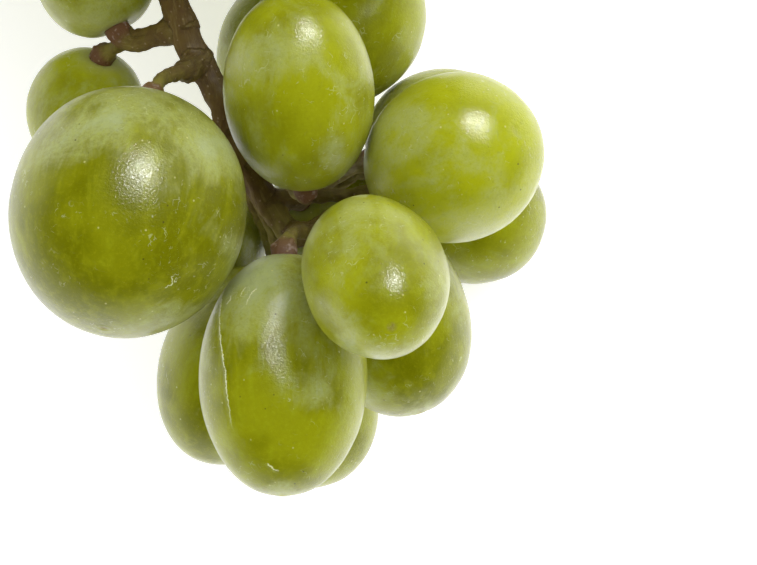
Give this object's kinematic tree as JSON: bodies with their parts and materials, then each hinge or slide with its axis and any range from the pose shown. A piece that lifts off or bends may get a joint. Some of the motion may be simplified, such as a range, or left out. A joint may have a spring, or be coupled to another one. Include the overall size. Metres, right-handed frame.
{
  "type": "bunch of grapes",
  "caption": "Bunch of green table grapes lying on its side: a branching stem with oval berries hanging from its stalks, open towards the tip.",
  "frame": {"origin": "on the surface that the bunch lies on, under the middle of its bounding box", "axes": "+Z up from the surface, +Y along the stem to its cut end, so the tip of the bunch points to -Y, +X to the right when seen from above with +Y up"},
  "size_m": [0.0842, 0.1345, 0.0686],
  "materials": {
    "berry_skin": "satin",
    "stem_wood": "matte"
  },
  "bodies": {
    "root": {"berry_a1": "berry_skin", "berry_a2": "berry_skin", "berry_a3": "berry_skin", "berry_b1": "berry_skin", "berry_b2": "berry_skin", "berry_b3": "berry_skin", "berry_b4": "berry_skin", "berry_c1": "berry_skin", "berry_c2": "berry_skin", "berry_c3": "berry_skin", "berry_d1": "berry_skin", "berry_d2": "berry_skin", "berry_d3": "berry_skin", "berry_e1": "berry_skin", "berry_f1": "berry_skin", "berry_f2": "berry_skin", "berry_g1": "berry_skin", "berry_g2": "berry_skin", "berry_g3": "berry_skin", "berry_g4": "berry_skin", "berry_g5": "berry_skin", "berry_h1": "berry_skin", "berry_h2": "berry_skin", "berry_h3": "berry_skin", "berry_h4": "berry_skin", "berry_h5": "berry_skin", "berry_i1": "berry_skin", "berry_i2": "berry_skin", "berry_i3": "berry_skin", "berry_i4": "berry_skin", "berry_i5": "berry_skin", "berry_j1": "berry_skin", "berry_j2": "berry_skin", "berry_j3": "berry_skin", "berry_j4": "berry_skin", "berry_k1": "berry_skin", "berry_k2": "berry_skin", "berry_k3": "berry_skin", "berry_k4": "berry_skin", "berry_l1": "berry_skin", "berry_l2": "berry_skin", "berry_l3": "berry_skin", "berry_l4": "berry_skin", "berry_m1": "berry_skin", "berry_m2": "berry_skin", "berry_m3": "berry_skin", "stem": "stem_wood"}
  },
  "joints": []
}
